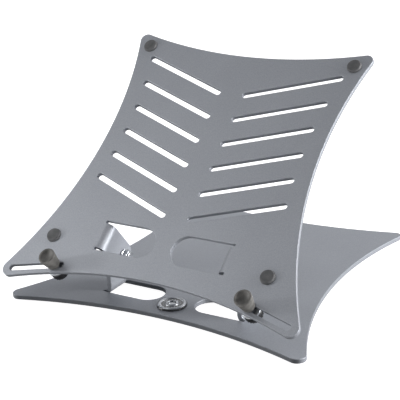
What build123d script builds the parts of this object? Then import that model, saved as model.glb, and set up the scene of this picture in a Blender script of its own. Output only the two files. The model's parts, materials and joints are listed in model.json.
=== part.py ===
from build123d import *
import math
import os

os.makedirs("parts", exist_ok=True)

# A folding laptop stand: two bowed metal plates cut to the same blank, a base and a tray,
# joined by a friction pivot on each side, with two sliding stops that hold the laptop's front edge.
# Millimetres and degrees. +X is to the user's right, +Y away from the user, +Z up.
# The origin is on the table, under the middle of the stand.

# Blank shared by both plates; its own Y is measured from the line through the pivots
sheet = 4.0
front_half_width = 150.8
back_half_width = 119.5
front_to_pivot = 60.1
blank_depth = 273.7
front_bow = 27.3
back_bow = 16.7
side_bow = 30.0
front_corner_radius = 7.5
back_corner_radius = 6.0
edge_round = 0.5

# Stance
tilt = 38.5
foot_height = 2.0
pivot_to_sheet_middle = 32.1
pivot_y = -73.8

# Windows left by the lugs, and the lugs bent out of them
window_half_width = 14.3
tray_window_tip = 8.2
tray_bend_x = 63.0
tray_bend_radius = 3.5
base_window_tip = 16.8
base_bend_x = 70.0
base_bend_radius = 3.5
lug_half_width = 11.8

# Cooling slots in the tray, a chevron on each side
vent_count = 6
vent_width = 5.6
vent_inner_x = 11.0
vent_top_y = 155.4
vent_pitch = 25.5
vent_angle = 19.2
vent_edge_margin = 14.7

# Stop slots in the tray's front corners
slot_width = 5.6
slot_inner_x = 84.3
slot_outer_x = 135.1
slot_middle_y = -40.2
slot_angle = 14.3

# Tray pads and base feet stand at the same places on both blanks, but for the tray's hand-set front pads
pad_x = 102.4
tray_front_pad_x = {"left": 106.9, "right": 100.9}
pad_front_y = -8.9
pad_back_y = 197.7
pad_radius = 5.7
pad_height = 2.0
foot_radius = 7.0
rubber_edge = 0.6

# Pivot hardware, from the nut outward
running_clearance = 0.05
face_clearance = 0.1
pivot_radius = 3.0
washer_bore_radius = 3.2
nut_thickness = 6.0
nut_flat_radius = 5.0
nut_washer_thickness = 1.2
nut_washer_radius = 6.0
friction_washer_thickness = 1.4
friction_washer_radius = 8.5
spacer_radius = 7.0
screw_head_radius = 5.5
screw_head_height = 3.0
screw_tip = 0.8
hex_key_flat_radius = 2.0
hex_key_depth = 1.6

# Stops
stop_x = {"left": 92.5, "right": 95.5}
stop_height = 15.5
stop_top_radius = 7.1
stop_bottom_radius = 5.0
stop_dish_radius = 6.1
stop_dish_depth = 3.4
stop_rim_round = 0.4
stop_neck_radius = 3.7
stop_neck_height = 1.0
stop_neck_taper = 0.5
stud_radius = 2.5
stud_reach = 8.0
stop_washer_thickness = 1.1
stop_washer_radius = 7.4
thumb_nut_radius = 7.9
thumb_nut_height = 8.6
thumb_nut_floor = 1.6
thumb_nut_waist = 1.2
thumb_nut_ribs = 18
thumb_nut_rib_radius = 0.7
stud_end_gap = 0.6

# Badge on the base, between the windows
badge_y = -12.8
badge_radius = 12.0
badge_height = 1.2
badge_cap_radius = 9.0
badge_cap_height = 0.9

sides = {"left": -1, "right": 1}

# Frames at the pivot: the base's stays level, the tray's leans back by the tilt
pivot_z = foot_height + sheet / 2 + pivot_to_sheet_middle
pivot_point = Vector(0, pivot_y, pivot_z)
lean = math.radians(tilt)
base_frame = Plane(origin=pivot_point, x_dir=(1, 0, 0), z_dir=(0, 0, 1))
tray_frame = Plane(origin=pivot_point, x_dir=(1, 0, 0), z_dir=(0, -math.sin(lean), math.cos(lean)))
base_top = base_frame.offset(-pivot_to_sheet_middle + sheet / 2)
base_bottom = base_frame.offset(-pivot_to_sheet_middle - sheet / 2)
tray_top = tray_frame.offset(pivot_to_sheet_middle + sheet / 2)
tray_bottom = tray_frame.offset(pivot_to_sheet_middle - sheet / 2)
tray_normal = Axis(tray_frame.origin, tray_frame.z_dir)

# Where the lugs stand, as distances from the middle plane of the stand
tray_lug_outer = tray_bend_x - tray_bend_radius
tray_lug_inner = tray_lug_outer - sheet
base_lug_outer = base_bend_x - base_bend_radius
base_lug_inner = base_lug_outer - sheet


def spot(plane, x, y):
    """A plane parallel to the given one, with its origin at local x, y."""
    return Plane(origin=plane.from_local_coords((x, y, 0)), x_dir=plane.x_dir, z_dir=plane.z_dir)


def crosswise(frame, x):
    """A plane square to the pivot axis at distance x; its own X is the frame's Y."""
    return Plane(origin=frame.from_local_coords((x, 0, 0)), x_dir=frame.y_dir, z_dir=frame.x_dir)


def lengthwise(frame):
    """The middle plane between a lug's two edges; its own X and Y are the frame's X and Z."""
    return Plane(origin=frame.origin, x_dir=frame.x_dir, z_dir=-frame.y_dir)


slot_middle_x = (slot_inner_x + slot_outer_x) / 2

# Corners of the blank before rounding, and the circle each side edge follows
front_y = -front_to_pivot
back_y = blank_depth - front_to_pivot
side_length = math.hypot(blank_depth, front_half_width - back_half_width)
side_inward = Vector(-blank_depth, -(front_half_width - back_half_width)) / side_length
side_arc_radius = (side_length ** 2 / 4 + side_bow ** 2) / (2 * side_bow)
side_middle = Vector((front_half_width + back_half_width) / 2, (front_y + back_y) / 2)
side_arc_centre = side_middle - side_inward * (side_arc_radius - side_bow)


def blank():
    """The outline both plates share: four edges that all bow inward, with rounded corners."""
    front_right = Vector(front_half_width, front_y)
    back_right = Vector(back_half_width, back_y)
    front_left = Vector(-front_half_width, front_y)
    back_left = Vector(-back_half_width, back_y)
    right_bow = side_middle + side_inward * side_bow
    left_bow = Vector(-right_bow.X, right_bow.Y)
    with BuildSketch() as outline:
        with BuildLine():
            ThreePointArc(front_left, (0, front_y + front_bow), front_right)
            ThreePointArc(front_right, right_bow, back_right)
            ThreePointArc(back_right, (0, back_y - back_bow), back_left)
            ThreePointArc(back_left, left_bow, front_left)
        make_face()
        fillet(outline.vertices().group_by(Axis.Y)[0], front_corner_radius)
        fillet(outline.vertices().group_by(Axis.Y)[-1], back_corner_radius)
    return outline.sketch


def windows(tip, bend_x):
    """Two D-shaped openings, round end towards the middle, straight end at the bend."""
    round_x = tip + window_half_width
    with BuildSketch() as openings:
        for side in sides.values():
            with Locations((side * round_x, 0)):
                Circle(window_half_width)
            with Locations((side * (round_x + bend_x) / 2, 0)):
                Rectangle(bend_x - round_x, 2 * window_half_width)
    return openings.sketch


def vent_length(y):
    """Length of the vent that starts at height y, ending a fixed margin inside the side edge."""
    direction = Vector(math.cos(math.radians(vent_angle)), math.sin(math.radians(vent_angle)))
    to_centre = side_arc_centre - Vector(vent_inner_x, y)
    along = to_centre.dot(direction)
    across = to_centre.cross(direction).length
    return along - math.sqrt((side_arc_radius + vent_edge_margin) ** 2 - across ** 2)


def vents():
    """The chevron of round-ended slots."""
    with BuildSketch() as slots:
        for side in sides.values():
            for row in range(vent_count):
                y = vent_top_y - row * vent_pitch
                length = vent_length(y)
                half = Vector(length / 2, 0).rotate(Axis.Z, vent_angle)
                with Locations((side * (vent_inner_x + half.X), y + half.Y)):
                    SlotOverall(length, vent_width, rotation=side * vent_angle)
    return slots.sketch


def stop_slots():
    """One straight slot along each half of the front edge."""
    length = (slot_outer_x - slot_inner_x) / math.cos(math.radians(slot_angle))
    with BuildSketch() as slots:
        for side in sides.values():
            with Locations((side * slot_middle_x, slot_middle_y)):
                SlotOverall(length, slot_width, rotation=-side * slot_angle)
    return slots.sketch


def round_rims(plate):
    """Breaks the sharp edges on both faces of a plate, except across its windows' bend lines."""
    faces = plate.faces().sort_by(SortBy.AREA)[-2:]
    edges = [edge for face in faces for edge in face.edges()]
    fillet([edge for edge in edges if edge.bounding_box().size.X > edge_round], edge_round)


def add_lugs(frame, toward_plate, bend_x, bend_radius, bore_radius):
    """Bends a lug out of each window, from the plate past the pivot, inside a plate's builder."""
    inner = bend_x - bend_radius - sheet
    outer_radius = bend_radius + sheet
    straight = pivot_to_sheet_middle - sheet / 2 - bend_radius
    for side in sides.values():
        with BuildSketch(crosswise(frame, side * inner)) as leaf:
            Circle(lug_half_width)
            with Locations((0, toward_plate * straight / 2)):
                Rectangle(2 * lug_half_width, straight)
            Circle(bore_radius, mode=Mode.SUBTRACT)
        extrude(leaf.sketch, amount=side * sheet)
        with BuildSketch(lengthwise(frame)) as bend:
            with Locations((side * bend_x, toward_plate * straight)):
                Circle(outer_radius)
                Circle(bend_radius, mode=Mode.SUBTRACT)
            corner = (side * (bend_x - outer_radius / 2), toward_plate * (straight + outer_radius / 2))
            with Locations(corner):
                Rectangle(outer_radius, outer_radius, mode=Mode.INTERSECT)
        extrude(bend.sketch, amount=lug_half_width, both=True)


# Base plate, its lugs bent up
with BuildPart() as base_plate:
    with BuildSketch(base_bottom):
        add(blank())
        add(windows(base_window_tip, base_bend_x), mode=Mode.SUBTRACT)
    extrude(amount=sheet)
    round_rims(base_plate)
    add_lugs(base_frame, -1, base_bend_x, base_bend_radius, pivot_radius)
base_plate.part.label = "base_plate"
export_step(base_plate.part, "parts/base_plate.step")

# Tray plate, its lugs bent down between the base's, with the vents and the stop slots
with BuildPart() as tray_plate:
    with BuildSketch(tray_bottom):
        add(blank())
        add(windows(tray_window_tip, tray_bend_x), mode=Mode.SUBTRACT)
        add(vents(), mode=Mode.SUBTRACT)
        add(stop_slots(), mode=Mode.SUBTRACT)
    extrude(amount=sheet)
    round_rims(tray_plate)
    add_lugs(tray_frame, 1, tray_bend_x, tray_bend_radius, pivot_radius + running_clearance)
tray_plate.part.label = "tray_plate"
export_step(tray_plate.part, "parts/tray_plate.step")

# Rubber pads on the tray and rubber feet under the base
for name, side in sides.items():
    for place, y in {"front": pad_front_y, "back": pad_back_y}.items():
        with BuildPart() as pad:
            pad_centre_x = tray_front_pad_x[name] if place == "front" else pad_x
            with BuildSketch(spot(tray_top, side * pad_centre_x, y)):
                Circle(pad_radius)
            extrude(amount=pad_height)
            fillet(pad.edges().filter_by(GeomType.CIRCLE).sort_by(tray_normal)[-1], rubber_edge)
        pad.part.label = f"tray_pad_{place}_{name}"
        export_step(pad.part, f"parts/{pad.part.label}.step")

        with BuildPart() as foot:
            with BuildSketch(spot(base_bottom, side * pad_x, y)):
                Circle(foot_radius)
            extrude(amount=-foot_height)
            fillet(foot.edges().filter_by(GeomType.CIRCLE).sort_by(Axis.Z)[0], rubber_edge)
        foot.part.label = f"base_foot_{place}_{name}"
        export_step(foot.part, f"parts/{foot.part.label}.step")

# Round badge: a plated disc with a raised rim, and a low domed cap in its middle
with BuildPart() as badge_disc:
    with BuildSketch(spot(base_top, 0, badge_y)):
        Circle(badge_radius)
    extrude(amount=badge_height)
    fillet(badge_disc.edges().sort_by(Axis.Z)[-1], badge_height / 2)
badge_disc.part.label = "badge_disc"
export_step(badge_disc.part, "parts/badge_disc.step")

with BuildPart() as badge_cap:
    with BuildSketch(spot(base_top.offset(badge_height), 0, badge_y)):
        Circle(badge_cap_radius)
    extrude(amount=badge_cap_height)
    fillet(badge_cap.edges().sort_by(Axis.Z)[-1], badge_cap_height / 2)
badge_cap.part.label = "badge_cap"
export_step(badge_cap.part, "parts/badge_cap.step")

# Pivots: nut, washer, tray lug, friction washer, spacer, base lug and screw head, from the middle outward
nut_washer_x = tray_lug_inner - face_clearance - nut_washer_thickness
nut_x = nut_washer_x - nut_thickness
friction_washer_x = tray_lug_outer + face_clearance
spacer_x = friction_washer_x + friction_washer_thickness
shank_end_x = nut_x - screw_tip

for name, side in sides.items():
    with BuildPart() as pivot_screw:
        with BuildSketch(crosswise(base_frame, side * shank_end_x)):
            Circle(pivot_radius)
        extrude(amount=side * (base_lug_outer - shank_end_x))
        with BuildSketch(crosswise(base_frame, side * base_lug_outer)):
            Circle(screw_head_radius)
        extrude(amount=side * screw_head_height)
        ends = pivot_screw.edges().filter_by(GeomType.CIRCLE).sort_by(Axis.X)
        fillet(ends[-1 if side > 0 else 0], screw_head_height / 2)
        chamfer(ends[0 if side > 0 else -1], screw_tip / 2)
        with BuildSketch(crosswise(base_frame, side * (base_lug_outer + screw_head_height))):
            RegularPolygon(hex_key_flat_radius, 6, major_radius=False)
        extrude(amount=-side * hex_key_depth, mode=Mode.SUBTRACT)
    pivot_screw.part.label = f"pivot_screw_{name}"
    export_step(pivot_screw.part, f"parts/{pivot_screw.part.label}.step")

    with BuildPart() as pivot_nut:
        with BuildSketch(crosswise(base_frame, side * nut_x)):
            RegularPolygon(nut_flat_radius, 6, major_radius=False)
            Circle(pivot_radius, mode=Mode.SUBTRACT)
        extrude(amount=side * nut_thickness)
    pivot_nut.part.label = f"pivot_nut_{name}"
    export_step(pivot_nut.part, f"parts/{pivot_nut.part.label}.step")

    rings = {
        "nut_washer": (nut_washer_x, nut_washer_radius, nut_washer_thickness),
        "friction_washer": (friction_washer_x, friction_washer_radius, friction_washer_thickness),
        "spacer_washer": (spacer_x, spacer_radius, base_lug_inner - spacer_x),
    }
    for kind, (x, radius, thickness) in rings.items():
        with BuildPart() as ring:
            with BuildSketch(crosswise(base_frame, side * x)):
                Circle(radius)
                Circle(washer_bore_radius, mode=Mode.SUBTRACT)
            extrude(amount=side * thickness)
        ring.part.label = f"{kind}_{name}"
        export_step(ring.part, f"parts/{ring.part.label}.step")

# Stops: rubber sleeve moulded round a stud above the tray, washer and thumb nut below it
washer_top = -sheet - face_clearance
thumb_nut_top = washer_top - stop_washer_thickness - face_clearance
thumb_nut_end = thumb_nut_top - thumb_nut_height
stud_end = thumb_nut_end + thumb_nut_floor + stud_end_gap
dish_floor = stop_height - stop_dish_depth

for name, side in sides.items():
    x = stop_x[name]
    y = slot_middle_y - (x - slot_middle_x) * math.tan(math.radians(slot_angle))
    seat = spot(tray_top, side * x, y)
    section = Plane(origin=seat.origin, x_dir=seat.x_dir, z_dir=-seat.y_dir)
    stop_axis = Axis(seat.origin, seat.z_dir)

    with BuildPart() as stop_sleeve:
        with BuildSketch(section):
            with BuildLine():
                TangentArc((0, dish_floor), (stop_dish_radius, stop_height), tangent=(1, 0))
                Polyline(
                    (stop_dish_radius, stop_height),
                    (stop_top_radius, stop_height),
                    (stop_bottom_radius, stop_neck_height + stop_neck_taper),
                    (stop_neck_radius, stop_neck_height),
                    (stop_neck_radius, face_clearance),
                    (stud_radius, face_clearance),
                    (stud_radius, stud_reach),
                    (0, stud_reach),
                    (0, dish_floor),
                )
            make_face()
        revolve(axis=stop_axis)
        rims = stop_sleeve.edges().filter_by(GeomType.CIRCLE).group_by(stop_axis)[-1]
        fillet(rims, stop_rim_round)
    stop_sleeve.part.label = f"stop_sleeve_{name}"
    export_step(stop_sleeve.part, f"parts/{stop_sleeve.part.label}.step")

    with BuildPart() as stop_stud:
        with BuildSketch(seat.offset(stud_end)):
            Circle(stud_radius)
        extrude(amount=stud_reach - stud_end)
    stop_stud.part.label = f"stop_stud_{name}"
    export_step(stop_stud.part, f"parts/{stop_stud.part.label}.step")

    with BuildPart() as stop_washer:
        with BuildSketch(seat.offset(washer_top)):
            Circle(stop_washer_radius)
            Circle(stud_radius + running_clearance, mode=Mode.SUBTRACT)
        extrude(amount=-stop_washer_thickness)
    stop_washer.part.label = f"stop_washer_{name}"
    export_step(stop_washer.part, f"parts/{stop_washer.part.label}.step")

    with BuildPart() as thumb_nut:
        with BuildSketch(seat.offset(thumb_nut_end)):
            Circle(thumb_nut_radius)
            with PolarLocations(thumb_nut_radius, thumb_nut_ribs):
                Circle(thumb_nut_rib_radius, mode=Mode.SUBTRACT)
        extrude(amount=thumb_nut_height - thumb_nut_waist)
        with BuildSketch(seat.offset(thumb_nut_top - thumb_nut_waist)):
            Circle(thumb_nut_radius - thumb_nut_rib_radius)
        extrude(amount=thumb_nut_waist)
        with BuildSketch(seat.offset(thumb_nut_top)):
            Circle(stud_radius + running_clearance)
        extrude(amount=-(thumb_nut_height - thumb_nut_floor), mode=Mode.SUBTRACT)
    thumb_nut.part.label = f"thumb_nut_{name}"
    export_step(thumb_nut.part, f"parts/{thumb_nut.part.label}.step")
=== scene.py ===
# %% [markdown]
# # A folding laptop stand
# The stand is two bowed aluminium plates, a base and a tray, cut to one outline. Two lugs bent out
# of each plate meet on friction pivots, and two rubber stops slide in slots along the tray's front.
# The CAD model fixes every size and every joint. This lesson keeps its plates and dresses the rest:
# small hardware is rebuilt with the rounds, chamfers and ribs that catch light on the real thing.

# %% Load the fixed frame
import json
import math

import bmesh
import bpy
from mathutils import Matrix, Quaternion, Vector


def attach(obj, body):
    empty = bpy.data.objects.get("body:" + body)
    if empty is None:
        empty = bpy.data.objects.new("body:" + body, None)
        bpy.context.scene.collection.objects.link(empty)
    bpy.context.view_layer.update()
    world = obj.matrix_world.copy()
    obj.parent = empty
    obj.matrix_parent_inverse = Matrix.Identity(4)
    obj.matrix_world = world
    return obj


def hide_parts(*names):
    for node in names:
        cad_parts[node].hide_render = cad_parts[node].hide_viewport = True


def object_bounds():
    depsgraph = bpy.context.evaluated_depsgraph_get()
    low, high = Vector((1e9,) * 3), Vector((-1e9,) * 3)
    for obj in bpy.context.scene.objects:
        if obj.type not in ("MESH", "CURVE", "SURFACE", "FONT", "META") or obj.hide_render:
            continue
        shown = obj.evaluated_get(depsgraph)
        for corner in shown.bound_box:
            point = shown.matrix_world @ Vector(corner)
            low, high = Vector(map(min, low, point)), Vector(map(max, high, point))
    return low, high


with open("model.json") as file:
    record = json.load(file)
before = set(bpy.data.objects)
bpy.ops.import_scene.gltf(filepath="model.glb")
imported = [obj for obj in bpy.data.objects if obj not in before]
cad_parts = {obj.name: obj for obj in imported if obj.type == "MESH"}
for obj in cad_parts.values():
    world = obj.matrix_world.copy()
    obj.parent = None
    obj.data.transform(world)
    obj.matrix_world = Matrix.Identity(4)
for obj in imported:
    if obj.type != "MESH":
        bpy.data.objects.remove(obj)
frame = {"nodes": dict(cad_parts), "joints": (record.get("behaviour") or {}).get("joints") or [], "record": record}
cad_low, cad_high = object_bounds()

MM = 0.001
SIDES = {"left": -1, "right": 1}
joints = {joint["name"]: joint for joint in frame["joints"]}
print("stand is", [round((high - low) / MM) for low, high in zip(cad_low, cad_high)], "mm")

# %% [markdown]
# ## Where things point
# The tilt hinge gives the pivot line, and a thumb nut's own hinge gives the direction square to the
# tray. Reading both from the record, and the rest from the CAD nodes themselves, keeps every new
# piece in place if a plate is ever changed.

# %% Directions of the base and the tray
pivot = Vector(joints["tray_tilt"]["pos_m"])
across = Vector((1, 0, 0))
upright = Vector((0, 0, 1))
tray_normal = Vector(joints["thumb_turn_left"]["axis"]).normalized()


def reach(node, direction):
    """The lowest and highest distance of a CAD node's corners along a direction."""
    along = [vertex.co.dot(direction) for vertex in frame["nodes"][node].data.vertices]
    return min(along), max(along)


def seat(node, direction):
    """Where a turned CAD node stands, the point on its axis at its low end, and how tall it is."""
    turn = direction.to_track_quat("Z", "Y").to_matrix()
    foot = Vector()
    for axis in (turn.col[0], turn.col[1]):
        foot += axis * sum(reach(node, axis)) / 2
    low, high = reach(node, direction)
    return foot + direction * low, high - low


print("pivot", [round(value / MM, 1) for value in pivot], "mm, tray leans",
      round(math.degrees(tray_normal.angle(upright)), 1), "degrees")

# %% [markdown]
# ## Camera
# A long lens from the front right looks down at the stand, so both plates' bowed outlines and their
# bright right-hand edges show. A turntable position is easier to read than a matrix: azimuth,
# elevation, a small roll, a distance, and how far from the stand's middle the lens looks.

# %% Camera
CAMERA_AZIMUTH, CAMERA_ELEVATION, CAMERA_ROLL = (math.radians(angle) for angle in (31.72, 20.94, -2.88))
CAMERA_DISTANCE = 1.0197
CAMERA_LENS = 113.62
LOOK_OFFSET = Vector((0.0298, -0.0809, 0.0069))

stand_middle = (cad_low + cad_high) / 2


def from_turntable(azimuth, elevation):
    """The direction from the stand to something at that azimuth and elevation, in radians."""
    level = math.cos(elevation)
    return Vector((math.sin(azimuth) * level, -math.cos(azimuth) * level, math.sin(elevation)))


look_back = from_turntable(CAMERA_AZIMUTH, CAMERA_ELEVATION)
camera = bpy.data.objects.new("camera", bpy.data.cameras.new("camera"))
bpy.context.scene.collection.objects.link(camera)
camera.data.lens = CAMERA_LENS
camera.rotation_mode = "QUATERNION"
camera.location = stand_middle + LOOK_OFFSET + look_back * CAMERA_DISTANCE
camera.rotation_quaternion = look_back.to_track_quat("Z", "Y") @ Quaternion((0, 0, 1), CAMERA_ROLL)
bpy.context.scene.camera = camera
print("camera at", [round(value, 3) for value in camera.location])

# %% [markdown]
# ## Small helpers for materials
# Finishes are easiest to compare as sRGB hex, but Blender's sockets take linear light, so one
# function converts them. A second adds a node with its settings and its links in one call. The
# rest are the four steps that every finish here shares: noise of a real width, a colour between
# two, a range, and a bump. They keep each material short enough to read as a recipe.

# %% Colour and node helpers
SRGB_TOE, SRGB_SLOPE, SRGB_OFFSET, SRGB_GAMMA = 0.04045, 12.92, 0.055, 2.4


def linear(hex_colour):
    """An sRGB hex colour as the linear RGBA that sockets take."""
    shares = [int(hex_colour[place:place + 2], 16) / 255 for place in (1, 3, 5)]
    return tuple(
        share / SRGB_SLOPE if share <= SRGB_TOE else ((share + SRGB_OFFSET) / (1 + SRGB_OFFSET)) ** SRGB_GAMMA
        for share in shares
    ) + (1.0,)


def add_node(tree, kind, settings=None, links=None):
    """Adds a node, sets its properties, and fills or links its inputs by name or index."""
    node = tree.nodes.new(kind)
    for name, value in (settings or {}).items():
        setattr(node, name, value)
    for name, value in (links or {}).items():
        if isinstance(value, bpy.types.NodeSocket):
            tree.links.new(value, node.inputs[name])
        else:
            node.inputs[name].default_value = value
    return node


def new_material(name):
    """An empty node material and its tree."""
    material = bpy.data.materials.new(name)
    material.use_nodes = True
    material.node_tree.nodes.clear()
    return material, material.node_tree


def noise(tree, place, width_mm, detail, roughness=0.5):
    """Noise whose features are this many millimetres wide, as a value."""
    return add_node(tree, "ShaderNodeTexNoise", links={
        "Vector": place, "Scale": 1 / (width_mm * MM), "Detail": detail, "Roughness": roughness,
    }).outputs["Fac"]


def between(tree, share, dark, pale):
    """A colour part of the way from one hex colour to another."""
    return add_node(tree, "ShaderNodeMix", {"data_type": "RGBA"}, {
        "Factor": share, 6: linear(dark), 7: linear(pale),
    }).outputs[2]


def ranged(tree, value, low, high):
    """A value from 0 to 1 turned into one from low to high."""
    return add_node(tree, "ShaderNodeMapRange", links={
        "Value": value, "To Min": low, "To Max": high,
    }).outputs["Result"]


def bumped(tree, height, strength, depth_mm):
    """A normal roughened by a height."""
    return add_node(tree, "ShaderNodeBump", links={
        "Strength": strength, "Distance": depth_mm * MM, "Height": height,
    }).outputs["Normal"]


def surface(tree, inputs):
    """Ends a material in one Principled shader with these inputs."""
    skin = add_node(tree, "ShaderNodeBsdfPrincipled", links=inputs)
    add_node(tree, "ShaderNodeOutputMaterial", links={"Surface": skin.outputs["BSDF"]})


print("mid grey is", round(linear("#808080")[0], 3), "in linear light")

# %% [markdown]
# ## Bead-blasted, anodised aluminium
# Both plates are 4 mm aluminium, blasted with fine glass beads and anodised silver grey. Blasting
# leaves a matt, faintly grainy skin with no direction, and anodising leaves it metallic but soft,
# so tone drifts slowly across the tray. A part-metallic shader with high roughness gives that.
# Real blasting is a tenth of a millimetre wide: grain of 0.9 mm is as coarse as it needs to show.

# %% Plate finish
GRAIN_MM, CLOUD_MM = 0.9, 70.0
CLOUD_SHARE = 0.3

anodised, tree = new_material("bead_blasted_anodised_aluminium")
place = add_node(tree, "ShaderNodeTexCoord").outputs["Object"]
grain = noise(tree, place, GRAIN_MM, 3.0, roughness=0.65)
cloud = noise(tree, place, CLOUD_MM, 2.0)
mottle = add_node(tree, "ShaderNodeMath", {"operation": "MULTIPLY_ADD"}, {0: cloud, 1: CLOUD_SHARE, 2: grain})
tone = add_node(tree, "ShaderNodeMapRange", links={
    "Value": mottle.outputs[0], "From Min": 0.4, "From Max": 0.9,
})
surface(tree, {
    "Base Color": between(tree, tone.outputs["Result"], "#8f9298", "#a2a5ab"),
    "Roughness": ranged(tree, grain, 0.46, 0.60),
    "Normal": bumped(tree, grain, 0.3, 0.05),
    "Metallic": 0.55,
})
print(anodised.name, "has", len(tree.nodes), "nodes")

# %% [markdown]
# ## Moulded rubber
# The pads, feet and stop sleeves are moulded synthetic rubber, dark grey and dry to the touch. Fresh
# rubber is never one flat colour: filler shows as faint specks, and handling leaves paler, slightly
# glossier patches. High roughness keeps highlights wide, and a shallow bump of 0.4 mm grain breaks
# them up as a spark-eroded mould does.

# %% Rubber finish
SPECK_MM, HANDLING_MM = 0.4, 6.0
SPECK_SHARE = 0.4
RUBBER_IOR = 1.52


def moulded_rubber(name, dark, pale):
    """Rubber in a mix of two hex colours, specked and slightly polished by handling."""
    material, tree = new_material(name)
    place = add_node(tree, "ShaderNodeTexCoord").outputs["Object"]
    speck = noise(tree, place, SPECK_MM, 2.0)
    handled = noise(tree, place, HANDLING_MM, 2.0)
    share = add_node(tree, "ShaderNodeMath", {"operation": "MULTIPLY_ADD"}, {
        0: speck, 1: SPECK_SHARE, 2: handled,
    }).outputs[0]
    tone = add_node(tree, "ShaderNodeMapRange", links={"Value": share, "From Min": 0.5, "From Max": 0.9})
    surface(tree, {
        "Base Color": between(tree, tone.outputs["Result"], dark, pale),
        "Roughness": ranged(tree, handled, 0.72, 0.5),
        "Normal": bumped(tree, speck, 0.3, 0.04),
        "IOR": RUBBER_IOR,
    })
    return material


pad_rubber = moulded_rubber("moulded_grey_rubber", "#464748", "#5a5a5b")
sleeve_rubber = moulded_rubber("moulded_sleeve_rubber", "#4c4b48", "#696764")
print("rubbers", pad_rubber.name, sleeve_rubber.name)

# %% [markdown]
# ## Plated steel, black nylon and chrome
# Screws, nuts and washers are bright zinc-plated steel: a true metal, mirror-like but blurred by
# the plating's fine crystals, with hairlines left by turning. The thumb nuts and friction washers
# are black nylon, a plastic with a soft sheen and a slightly uneven skin. The badge is plated with
# satin chrome, a little paler than the zinc.

# %% Hardware finishes
HAIRLINE_MM, CRYSTAL_MM, FLOW_MM = 0.25, 1.2, 0.7
NYLON_IOR = 1.53


def plated_metal(name, dark, pale, roughness_low, roughness_high):
    """A plated metal in a mix of two hex colours, its roughness varied by fine crystals."""
    material, tree = new_material(name)
    place = add_node(tree, "ShaderNodeTexCoord").outputs["Object"]
    crystal = noise(tree, place, CRYSTAL_MM, 3.0)
    hairline = noise(tree, place, HAIRLINE_MM, 1.0)
    surface(tree, {
        "Base Color": between(tree, crystal, dark, pale),
        "Roughness": ranged(tree, crystal, roughness_low, roughness_high),
        "Normal": bumped(tree, hairline, 0.15, 0.01),
        "Metallic": 1.0,
    })
    return material


zinc = plated_metal("bright_zinc_plated_steel", "#b6b9bd", "#d3d5d8", 0.24, 0.40)
chrome = plated_metal("satin_chrome_plate", "#b2b5b9", "#d2d4d7", 0.26, 0.40)

nylon, tree = new_material("moulded_black_nylon")
place = add_node(tree, "ShaderNodeTexCoord").outputs["Object"]
flow = noise(tree, place, FLOW_MM, 3.0)
surface(tree, {
    "Base Color": between(tree, flow, "#0c0c0d", "#1b1b1d"),
    "Roughness": ranged(tree, flow, 0.32, 0.5),
    "Normal": bumped(tree, flow, 0.25, 0.03),
    "IOR": NYLON_IOR,
})
print("hardware finishes", zinc.name, chrome.name, nylon.name)

# %% [markdown]
# ## Dress the CAD nodes
# Both plates are right as the CAD has them, rounded rims and bent lugs included, so they keep their
# meshes and only get the anodised finish. Everything else gets its finish too, so that nothing is
# bare if a rebuilt piece is ever taken away.

# %% Finishes on the CAD nodes
finish_of_slot = {
    "plate_metal": anodised, "rubber": pad_rubber, "steel": zinc,
    "polymer": nylon, "black_plastic": nylon, "badge_metal": chrome,
}
slot_of = {row["node"]: row["material_slot"] for row in frame["record"]["subparts"]}
for name, node in frame["nodes"].items():
    node.data.materials.clear()
    node.data.materials.append(finish_of_slot[slot_of[name]])
print("dressed", len(frame["nodes"]), "nodes")

# %% [markdown]
# ## A turned profile
# Pads, sleeves, washers and screw heads are all round, and each is a short list of radius and height
# pairs spun about an axis. Spinning it in code gives full control of where the edges lie. Corners
# in the list are turned into arcs first, because a real edge always has a radius that catches a
# line of light. Each arc's centre lies where a round of the given radius would have it, but the
# arc itself is drawn ARC_RADIUS from it, so a corner with a smaller round swells a little.

# %% Spun pieces
ARC_STEPS = 5
ARC_RADIUS = 1.0
TURN_STEPS = 64
ON_AXIS = 1e-6


def softened(corners, rounds):
    """A profile in mm with its corners turned into arcs; rounds places each arc's centre, 0 for sharp."""
    line = []
    count = len(corners)
    for place, (corner, radius) in enumerate(zip(corners, rounds)):
        here = Vector(corner)
        if not radius:
            line.append(here)
            continue
        before = (Vector(corners[place - 1]) - here).normalized()
        after = (Vector(corners[(place + 1) % count]) - here).normalized()
        half = before.angle(after) / 2
        setback = radius / math.tan(half)
        centre = here + (before + after).normalized() * (radius / math.sin(half))
        start = (here + before * setback - centre).normalized()
        end = (here + after * setback - centre).normalized()
        for step in range(ARC_STEPS + 1):
            line.append(centre + start.slerp(end, step / ARC_STEPS) * ARC_RADIUS)
    return line


def add_spun(mesh, profile, origin, direction, steps=TURN_STEPS):
    """Spins a closed profile about a direction from origin, into a bmesh.

    Each entry is a radius and height in mm, or a function that gives them for an angle, as on a hexagon.
    """
    turn = direction.to_track_quat("Z", "Y").to_matrix()
    rings = []
    for entry in profile:
        ring = []
        for step in range(steps):
            angle = math.tau * step / steps
            radius, height = entry(angle) if callable(entry) else entry
            if ring and radius < ON_AXIS:
                ring.append(ring[0])
                continue
            local = Vector((radius * math.cos(angle), radius * math.sin(angle), height)) * MM
            ring.append(mesh.verts.new(origin + turn @ local))
        rings.append(ring)
    for here, there in zip(rings, rings[1:] + rings[:1]):
        for step in range(steps):
            following = (step + 1) % steps
            corners = list(dict.fromkeys([here[step], here[following], there[following], there[step]]))
            if len(corners) > 2:
                mesh.faces.new(corners)


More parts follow.
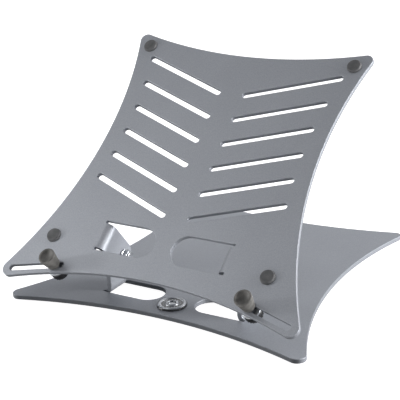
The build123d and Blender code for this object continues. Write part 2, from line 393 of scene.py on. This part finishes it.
def finished(mesh, name, material, crease=35):
    """Turns a bmesh into an object at the origin, normals outward, smooth except at creases."""
    bmesh.ops.recalc_face_normals(mesh, faces=mesh.faces)
    data = bpy.data.meshes.new(name)
    mesh.to_mesh(data)
    mesh.free()
    data.materials.append(material)
    data.shade_smooth()
    data.set_sharp_from_angle(angle=math.radians(crease))
    piece = bpy.data.objects.new(name, data)
    bpy.context.scene.collection.objects.link(piece)
    return piece


def place_piece(piece, body, slot_name, *nodes):
    """Rides a piece on its body, in place of CAD nodes. The slot name is not used."""
    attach(piece, body)
    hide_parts(*nodes)
    print(piece.name, "stands for", ", ".join(nodes), "with", len(piece.data.polygons), "faces")
    return piece


print("a ring has", TURN_STEPS, "steps")

# %% [markdown]
# ## Stop sleeves
# Each stop is a tapered rubber sleeve, wider at the top, with a dished end that leaves a thin rim.
# It is spun from one profile. The dish is an arc, so light slides round it, and a short neck lifts
# the wide part clear of the tray, which leaves the dark line under it.

# %% Stop sleeves
DISH_STEPS = 10


def stop_profile(height):
    """The sleeve's half section: neck, taper, rim, dish, and a floor closed over the stud."""
    rim, dish, foot, neck, depth = 7.1, 6.2, 5.0, 3.7, 2.2
    neck_top, foot_bottom = 0.9, 1.5
    outline = softened(
        [(0, 0), (neck, 0), (neck, neck_top), (foot, foot_bottom), (rim, height), (dish, height)],
        [0, 0.2, 0.2, 0.5, 0.55, 0.4],
    )
    bowl = (dish ** 2 + depth ** 2) / (2 * depth)
    low = math.asin(dish / bowl)
    for step in range(1, DISH_STEPS + 1):
        swing = low * (1 - step / DISH_STEPS)
        outline.append(Vector((bowl * math.sin(swing), height - depth + bowl * (1 - math.cos(swing)))))
    return outline


for name in SIDES:
    foot, length = seat(f"stop_sleeve_{name}", tray_normal)
    mesh = bmesh.new()
    add_spun(mesh, stop_profile(length / MM), foot, tray_normal)
    sleeve = finished(mesh, f"sleeve_{name}", sleeve_rubber, crease=50)
    place_piece(sleeve, f"stop_{name}", "rubber", f"stop_sleeve_{name}")

# %% [markdown]
# ## Buttons set on seats with Geometry Nodes
# Eight identical rubber buttons, four on the tray and four under the base, are a pattern. A small
# tree takes a few seats as loose points and sets one button on each. The button's shape comes from
# its own mesh, so the tree's only sizes are its turn and its scale. Instances are realised at the
# end, because an exported model keeps only real geometry.

# %% A tree that sets a piece on every seat


def setting_tree():
    """A node group: points in, one turned copy of a piece on each, real geometry out."""
    tree = bpy.data.node_groups.new("set_on_seats", "GeometryNodeTree")
    face = tree.interface
    face.new_socket("Geometry", in_out="INPUT", socket_type="NodeSocketGeometry")
    face.new_socket("Piece", in_out="INPUT", socket_type="NodeSocketObject")
    face.new_socket("Turn", in_out="INPUT", socket_type="NodeSocketRotation")
    face.new_socket("Size", in_out="INPUT", socket_type="NodeSocketFloat")
    face.new_socket("Finish", in_out="INPUT", socket_type="NodeSocketMaterial")
    face.new_socket("Geometry", in_out="OUTPUT", socket_type="NodeSocketGeometry")
    given = add_node(tree, "NodeGroupInput").outputs
    piece = add_node(tree, "GeometryNodeObjectInfo", links={"Object": given["Piece"]})
    copies = add_node(tree, "GeometryNodeInstanceOnPoints", links={
        "Points": given["Geometry"], "Instance": piece.outputs["Geometry"],
        "Rotation": given["Turn"], "Scale": given["Size"],
    })
    real = add_node(tree, "GeometryNodeRealizeInstances", links={"Geometry": copies.outputs["Instances"]})
    finish = add_node(tree, "GeometryNodeSetMaterial", links={
        "Geometry": real.outputs["Geometry"], "Material": given["Finish"],
    })
    add_node(tree, "NodeGroupOutput", links={"Geometry": finish.outputs["Geometry"]})
    return tree


set_on_seats = setting_tree()


def built_by(tree, carrier, inputs):
    """Runs a tree on an object, then leaves it a plain mesh. Inputs are set by socket identifier."""
    modifier = carrier.modifiers.new(tree.name, "NODES")
    modifier.node_group = tree
    for item in tree.interface.items_tree:
        if item.in_out == "INPUT" and item.name in inputs:
            modifier[item.identifier] = inputs[item.name]
    evaluated = carrier.evaluated_get(bpy.context.evaluated_depsgraph_get())
    data = bpy.data.meshes.new_from_object(evaluated)
    carrier.modifiers.clear()
    carrier.data = data
    data.name = carrier.name
    data.shade_smooth()
    data.set_sharp_from_angle(angle=math.radians(35))
    return carrier


def point_carrier(name, seats):
    """An object whose mesh is loose points, for a tree to build on."""
    data = bpy.data.meshes.new(name)
    data.from_pydata(seats, [], [])
    carrier = bpy.data.objects.new(name, data)
    bpy.context.scene.collection.objects.link(carrier)
    return carrier


print(set_on_seats.name, "has", len(set_on_seats.nodes), "nodes")

# %% [markdown]
# ## Rubber pads and feet
# A moulded button has a rounded rim and a face that sinks slightly towards its middle, where the
# rubber shrank as it cured. One button is spun for the tray and a wider one for the base, and the
# tree sets four of each.

# %% Pads and feet
FACE_SINK = 0.08


def button(name, radius, height):
    """A spun rubber button standing on the origin, with a slightly sunken face."""
    profile = softened(
        [(0, 0), (radius, 0), (radius, height), (0, height - FACE_SINK)],
        [0, 0.15, 0.6, 0],
    )
    mesh = bmesh.new()
    add_spun(mesh, profile, Vector(), upright)
    return finished(mesh, name, pad_rubber)


def set_buttons(name, nodes, direction, body):
    """Sets one button on each of a body's seats, in place of its CAD buttons."""
    seats = [seat(node, direction)[0] for node in nodes]
    low, high = reach(nodes[0], direction)
    side_low, side_high = reach(nodes[0], across)
    model = button(name + "_model", (side_high - side_low) / 2 / MM, (high - low) / MM)
    carrier = point_carrier(name, seats)
    turn = direction.to_track_quat("Z", "Y").to_euler()
    built_by(set_on_seats, carrier, {"Piece": model, "Turn": turn, "Size": 1.0, "Finish": pad_rubber})
    bpy.data.objects.remove(model)
    place_piece(carrier, body, "rubber", *nodes)


corners = [f"{place}_{name}" for place in ("front", "back") for name in SIDES]
set_buttons("tray_pads", [f"tray_pad_{corner}" for corner in corners], tray_normal, "tray")
set_buttons("base_feet", [f"base_foot_{corner}" for corner in corners], -upright, "base")

# %% [markdown]
# ## Thumb nuts
# Each thumb nut is a moulded knob whose ribs give fingers a grip. The body is spun, and the ribs
# repeat round it, so a second tree makes them: it puts points round a circle and stands a rounded
# rib on each. Count, radius and rib size are the tree's inputs.

# %% Thumb nuts
RIBS = 20
RIB_CIRCLE, RIB_RADIUS, RIB_DROP = 7.25, 0.72, 0.3
RIB_MARGIN = 3.6
KNOB_BORE, KNOB_FLOOR = 2.56, 2.0


def rib_tree():
    """A node group that stands a rib, turned outwards, at equal steps round a circle."""
    tree = bpy.data.node_groups.new("ribs_round_a_knob", "GeometryNodeTree")
    face = tree.interface
    face.new_socket("Geometry", in_out="INPUT", socket_type="NodeSocketGeometry")
    face.new_socket("Rib", in_out="INPUT", socket_type="NodeSocketObject")
    face.new_socket("Count", in_out="INPUT", socket_type="NodeSocketInt")
    face.new_socket("Radius", in_out="INPUT", socket_type="NodeSocketFloat")
    face.new_socket("Place", in_out="INPUT", socket_type="NodeSocketVector")
    face.new_socket("Turn", in_out="INPUT", socket_type="NodeSocketVector")
    face.new_socket("Finish", in_out="INPUT", socket_type="NodeSocketMaterial")
    face.new_socket("Geometry", in_out="OUTPUT", socket_type="NodeSocketGeometry")
    given = add_node(tree, "NodeGroupInput").outputs
    circle = add_node(tree, "GeometryNodeMeshCircle", links={
        "Vertices": given["Count"], "Radius": given["Radius"],
    })
    spot = add_node(tree, "GeometryNodeInputPosition")
    outward = add_node(tree, "FunctionNodeAlignEulerToVector", {"axis": "X"}, {
        "Vector": spot.outputs["Position"],
    })
    rib = add_node(tree, "GeometryNodeObjectInfo", links={"Object": given["Rib"]})
    ribs = add_node(tree, "GeometryNodeInstanceOnPoints", links={
        "Points": circle.outputs["Mesh"], "Instance": rib.outputs["Geometry"],
        "Rotation": outward.outputs["Rotation"],
    })
    moved = add_node(tree, "GeometryNodeTransform", links={
        "Geometry": ribs.outputs["Instances"], "Translation": given["Place"], "Rotation": given["Turn"],
    })
    both = add_node(tree, "GeometryNodeJoinGeometry", links={"Geometry": moved.outputs["Geometry"]})
    tree.links.new(given["Geometry"], both.inputs["Geometry"])
    real = add_node(tree, "GeometryNodeRealizeInstances", links={"Geometry": both.outputs["Geometry"]})
    finish = add_node(tree, "GeometryNodeSetMaterial", links={
        "Geometry": real.outputs["Geometry"], "Material": given["Finish"],
    })
    add_node(tree, "NodeGroupOutput", links={"Geometry": finish.outputs["Geometry"]})
    return tree


ribs_round_a_knob = rib_tree()

for name in SIDES:
    node = f"thumb_nut_{name}"
    foot, length = seat(node, tray_normal)
    height = length / MM
    mesh = bmesh.new()
    profile = softened(
        [
            (0, 0), (5.6, 0), (6.9, 0.9), (7.3, height - 1.6), (6.4, height - 1.1), (6.4, height),
            (KNOB_BORE, height), (KNOB_BORE, KNOB_FLOOR), (0, KNOB_FLOOR),
        ],
        [0, 0.5, 0.6, 0.3, 0.2, 0.25, 0.2, 0, 0],
    )
    add_spun(mesh, profile, foot, tray_normal)
    knob = finished(mesh, f"thumb_knob_{name}", nylon)
    mesh = bmesh.new()
    bmesh.ops.create_uvsphere(mesh, u_segments=10, v_segments=8, radius=RIB_RADIUS * MM)
    stretch = (height - RIB_MARGIN) / 2 * MM
    for vertex in mesh.verts:
        vertex.co.z += math.copysign(stretch, vertex.co.z) if abs(vertex.co.z) > 1e-9 else 0
    rib = finished(mesh, "rib_model", nylon)
    built_by(ribs_round_a_knob, knob, {
        "Rib": rib, "Count": RIBS, "Radius": RIB_CIRCLE * MM, "Finish": nylon,
        "Place": foot + tray_normal * (height / 2 - RIB_DROP) * MM,
        "Turn": tray_normal.to_track_quat("Z", "Y").to_euler(),
    })
    bpy.data.objects.remove(rib)
    place_piece(knob, f"thumb_{name}", "black_plastic", node)

# %% [markdown]
# ## Washers
# Flat washers are stamped, so one face has a soft edge. They are too small to show that from afar,
# but the rounded edge is what gives each its thin bright line. A plain spun ring with small rounds
# on all four corners stands for it.

# %% Washers
PIVOT_WASHER_BORE, STOP_WASHER_BORE = 3.2, 2.55
WASHER_ROUND = 0.3


def ring_piece(name, node, direction, bore, material):
    """A washer spun to fill a CAD ring's box, with rounded edges."""
    foot, length = seat(node, direction)
    side_axis = across if abs(direction.x) < 0.5 else upright
    low, high = reach(node, side_axis)
    radius, height = (high - low) / 2 / MM, length / MM
    mesh = bmesh.new()
    edge = min(WASHER_ROUND, height / 3)
    section = softened([(bore, 0), (radius, 0), (radius, height), (bore, height)], [edge] * 4)
    add_spun(mesh, section, foot, direction)
    return finished(mesh, name, material)


for name, side in SIDES.items():
    outward = across * side
    for kind, material, slot_name in (
        ("nut_washer", zinc, "steel"),
        ("friction_washer", nylon, "polymer"),
        ("spacer_washer", zinc, "steel"),
    ):
        washer = ring_piece(f"{kind}_ring_{name}", f"{kind}_{name}", outward, PIVOT_WASHER_BORE, material)
        place_piece(washer, "base", slot_name, f"{kind}_{name}")
    node = f"stop_washer_{name}"
    washer = ring_piece(f"stop_washer_ring_{name}", node, tray_normal, STOP_WASHER_BORE, zinc)
    place_piece(washer, f"stop_{name}", "steel", node)

# %% [markdown]
# ## Lock nuts and pivot screws
# The pivots are button-head screws with a hexagon socket and lock nuts with a rounded collar. A
# hexagon is spun too: its radius is a function of the angle, and where the corners stick out past
# the chamfer circle the face drops away, which draws the curved line on a real nut's flats.

# %% Lock nuts and pivot screws
CHAMFER_SLOPE = math.tan(math.radians(30))
SIXTH = math.tau / 6
HEXAGON_STEPS = 72
SHANK, NUT_FLAT, NUT_COLLAR = 3.0, 5.0, 1.4
HEAD_RADIUS, HEAD_HEIGHT, KEY_FLAT = 5.5, 3.0, 2.0


def hexagon(flat_radius, angle):
    """The radius of a hexagon at an angle, from half its width across flats."""
    return flat_radius / math.cos((angle + SIXTH / 2) % SIXTH - SIXTH / 2)


def nut_profile(flat_radius, bore, height, collar):
    """A lock nut's section: chamfered hexagon, then a rounded collar on the far face."""
    hexed = height - collar

    def low_edge(angle):
        radius = hexagon(flat_radius, angle)
        return radius, (radius - flat_radius) * CHAMFER_SLOPE

    def high_edge(angle):
        radius = hexagon(flat_radius, angle)
        return radius, hexed - (radius - flat_radius) * CHAMFER_SLOPE

    return [
        (bore, 0), (flat_radius, 0), low_edge, high_edge, (flat_radius, hexed),
        (flat_radius - 0.35, hexed + 0.05),
        (flat_radius - 0.45, hexed + collar * 0.5), (flat_radius - 0.8, height - 0.2),
        (flat_radius - 1.2, height),
        (bore + 0.2, height), (bore, height - 0.2),
    ]


def screw_profile(shank, length, head_radius, head_height, socket):
    """A button-head screw's section, from its chamfered tip to its domed head and hexagon socket."""
    under = length - head_height
    dome = [
        (head_radius - 0.15 * step ** 2, under + 0.5 + (head_height - 0.5) * math.sin(step / 5 * math.pi / 2))
        for step in range(1, 5)
    ]
    return [
        (0, 0), (shank - 0.5, 0), (shank, 0.5), (shank, under),
        (head_radius - 0.2, under), (head_radius, under + 0.3),
        *dome, (socket + 0.75, length), lambda angle: (hexagon(socket, angle), length - 0.15),
        lambda angle: (hexagon(socket, angle), length - 1.6), (0, length - 1.6),
    ]


for name, side in SIDES.items():
    outward = across * side
    foot, length = seat(f"pivot_nut_{name}", -outward)
    mesh = bmesh.new()
    add_spun(mesh, nut_profile(NUT_FLAT, SHANK, length / MM, NUT_COLLAR), foot, -outward, steps=HEXAGON_STEPS)
    nut = finished(mesh, f"lock_nut_{name}", zinc, crease=20)
    place_piece(nut, "base", "steel", f"pivot_nut_{name}")

    foot, length = seat(f"pivot_screw_{name}", outward)
    mesh = bmesh.new()
    profile = screw_profile(SHANK, length / MM, HEAD_RADIUS, HEAD_HEIGHT, KEY_FLAT)
    add_spun(mesh, profile, foot, outward, steps=HEXAGON_STEPS)
    screw = finished(mesh, f"button_screw_{name}", zinc, crease=28)
    place_piece(screw, "base", "steel", f"pivot_screw_{name}")

# %% [markdown]
# ## Badge
# A small plated medallion sits on the base between its windows. It carries no mark: a dark enamel
# cup holds a bright rolled rim, and short bright rays round a plain boss catch the light the way
# raised work does. The enamel is the badge's dark ground in the field. Where it shows as the cup's
# outer wall and ledge beyond the rim, its darkness is painted shade under the raised rim.
# The rays repeat, so the rib tree sets them.

# %% Badge
RAYS = 18
RAY_CIRCLE, RAY_RADIUS, RAY_STRETCH, RAY_HEIGHT = 7.3, 0.55, 2.2, 1.1
ENAMEL_FLOW_MM = 2.0
CUP_HEIGHT = 0.95
BADGE_STEPS = 96

# The dark enamel is the badge's own dark ground in its field. On the cup's outer wall and ledge outside the rim
# the same near-black is painted shade, standing for the shadowed edge under the raised rim.
enamel, tree = new_material("fired_dark_enamel")
place = add_node(tree, "ShaderNodeTexCoord").outputs["Object"]
flow = noise(tree, place, ENAMEL_FLOW_MM, 2.0)
surface(tree, {
    "Base Color": between(tree, flow, "#1c1d1f", "#2c2d30"), "Roughness": 0.3, "IOR": 1.5, "Coat Weight": 0.5,
})

foot, _ = seat("badge_disc", upright)
low, high = reach("badge_disc", across)
rim_radius = (high - low) / 2 / MM
mesh = bmesh.new()
profile = softened(
    [
        (rim_radius - 2.6, 0.7), (rim_radius - 0.4, 0.7), (rim_radius - 0.4, 1.2),
        (rim_radius - 1.2, 1.9), (rim_radius - 2.2, 1.4),
    ],
    [0, 0.1, 0.3, 0.5, 0.3],
)
add_spun(mesh, profile, foot, upright, steps=BADGE_STEPS)
place_piece(finished(mesh, "badge_rim", chrome), "base", "badge_metal", "badge_disc")

mesh = bmesh.new()
# The cup runs out past the rim, so its dark outer wall and ledge draw a painted shade line round the badge's edge.
cup = softened([(0, 0), (rim_radius, 0), (rim_radius, CUP_HEIGHT), (0, CUP_HEIGHT)], [0, 0.1, 0.25, 0])
add_spun(mesh, cup, foot, upright, steps=BADGE_STEPS)
field = finished(mesh, "badge_field", enamel)
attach(field, "base")

mesh = bmesh.new()
boss = softened(
    [(0, 0.9), (5.2, 0.9), (5.0, 1.7), (4.0, 2.0), (3.2, 1.6), (0, 2.1)],
    [0, 0.1, 0.4, 0.4, 0.5, 0],
)
add_spun(mesh, boss, foot, upright, steps=BADGE_STEPS)
boss_piece = finished(mesh, "badge_boss", chrome)
mesh = bmesh.new()
bmesh.ops.create_uvsphere(mesh, u_segments=12, v_segments=8, radius=RAY_RADIUS * MM)
for vertex in mesh.verts:
    vertex.co.x *= RAY_STRETCH
ray = finished(mesh, "ray_model", chrome)
built_by(ribs_round_a_knob, boss_piece, {
    "Rib": ray, "Count": RAYS, "Radius": RAY_CIRCLE * MM, "Finish": chrome,
    "Place": foot + upright * RAY_HEIGHT * MM, "Turn": (0.0, 0.0, 0.0),
})
bpy.data.objects.remove(ray)
place_piece(boss_piece, "base", "badge_metal", "badge_cap")

# %% [markdown]
# ## Floor
# The stand is on a plain white table. A slightly glowing white surface keeps its far side as pale as
# its near side, and the part of its light that is reflected still lets a soft shadow show.

# %% Floor
FLOOR_SIZE = 12.0

edge = FLOOR_SIZE / 2
data = bpy.data.meshes.new("floor")
corners = [(-edge, -edge, 0), (edge, -edge, 0), (edge, edge, 0), (-edge, edge, 0)]
data.from_pydata(corners, [], [(0, 1, 2, 3)])
floor = bpy.data.objects.new("floor", data)
bpy.context.scene.collection.objects.link(floor)
table_top, tree = new_material("pale_table_top")
matt = add_node(tree, "ShaderNodeBsdfDiffuse", links={"Color": linear("#b4b4b4")})
glow = add_node(tree, "ShaderNodeEmission", links={"Color": linear("#ffffff"), "Strength": 0.95})
lit = add_node(tree, "ShaderNodeAddShader", links={0: matt.outputs["BSDF"], 1: glow.outputs["Emission"]})
add_node(tree, "ShaderNodeOutputMaterial", links={"Surface": lit.outputs["Shader"]})
data.materials.append(table_top)
floor.visible_diffuse = False
floor.visible_glossy = False
print("floor is", FLOOR_SIZE, "m square")

# %% [markdown]
# ## Studio light
# Behind and to the right of the table the studio is bright, and in front it is dark. Softboxes from
# the upper left light the tray, the near one so that its front left corner is the brightest part.
# Two behind light the base. A strong low one at the right draws the bright lines along the plates'
# edges, and a weak low one at the left, with light bounced up off the table in front, keeps the
# edges that face the viewer from going black.

# %% Studio light
BRIGHT_SIDE = Vector((0.55, 0.80, 0.25)).normalized()
BOUNCE_REACH, BOUNCE_WIDTH, BOUNCE_DEPTH, BOUNCE_HEIGHT = 0.42, 1.2, 0.5, 0.004

studio = bpy.data.worlds.new("studio")
bpy.context.scene.world = studio
studio.use_nodes = True
tree = studio.node_tree
tree.nodes.clear()
facing = add_node(tree, "ShaderNodeVectorMath", {"operation": "DOT_PRODUCT"}, {
    0: add_node(tree, "ShaderNodeTexCoord").outputs["Generated"], 1: BRIGHT_SIDE,
})
level = add_node(tree, "ShaderNodeMapRange", {"interpolation_type": "SMOOTHSTEP"}, {
    "Value": facing.outputs["Value"], "From Min": -0.5, "From Max": 0.9, "To Min": 0.075, "To Max": 0.46,
})
sky = add_node(tree, "ShaderNodeBackground", links={
    "Color": linear("#f7f9ff"), "Strength": level.outputs["Result"],
})
add_node(tree, "ShaderNodeOutputWorld", links={"Surface": sky.outputs["Background"]})


def softbox(name, azimuth, elevation, distance, size, power):
    """A square area light that faces the stand's middle."""
    light = bpy.data.lights.new(name, "AREA")
    light.shape, light.size, light.energy = "SQUARE", size, power
    lamp = bpy.data.objects.new(name, light)
    bpy.context.scene.collection.objects.link(lamp)
    back = from_turntable(math.radians(azimuth), math.radians(elevation))
    lamp.location = stand_middle + back * distance
    lamp.rotation_mode = "QUATERNION"
    lamp.rotation_quaternion = back.to_track_quat("Z", "Y")
    return lamp


softbox("overhead_left", -60, 62, 1.3, 0.7, 2.1)
softbox("high_behind", 170, 50, 1.3, 0.7, 2.5)
softbox("low_behind", -148, 21, 1.3, 0.7, 0.95)
softbox("near_left", -50, 35, 0.6, 0.3, 0.62)
softbox("low_left", -60, 4, 1.2, 0.2, 6.0)
softbox("low_right", 105, 12, 1.2, 0.6, 26.0)
bounce = softbox("table_bounce", 0, 0, BOUNCE_REACH, BOUNCE_WIDTH, 4.0)
bounce.data.shape, bounce.data.size_y = "RECTANGLE", BOUNCE_DEPTH
bounce.location = Vector((0, -BOUNCE_REACH, BOUNCE_HEIGHT))
bounce.rotation_quaternion = (-upright).to_track_quat("Z", "Y")
bpy.context.scene.view_settings.view_transform = "Standard"
print("lights", [light.name for light in bpy.data.lights])
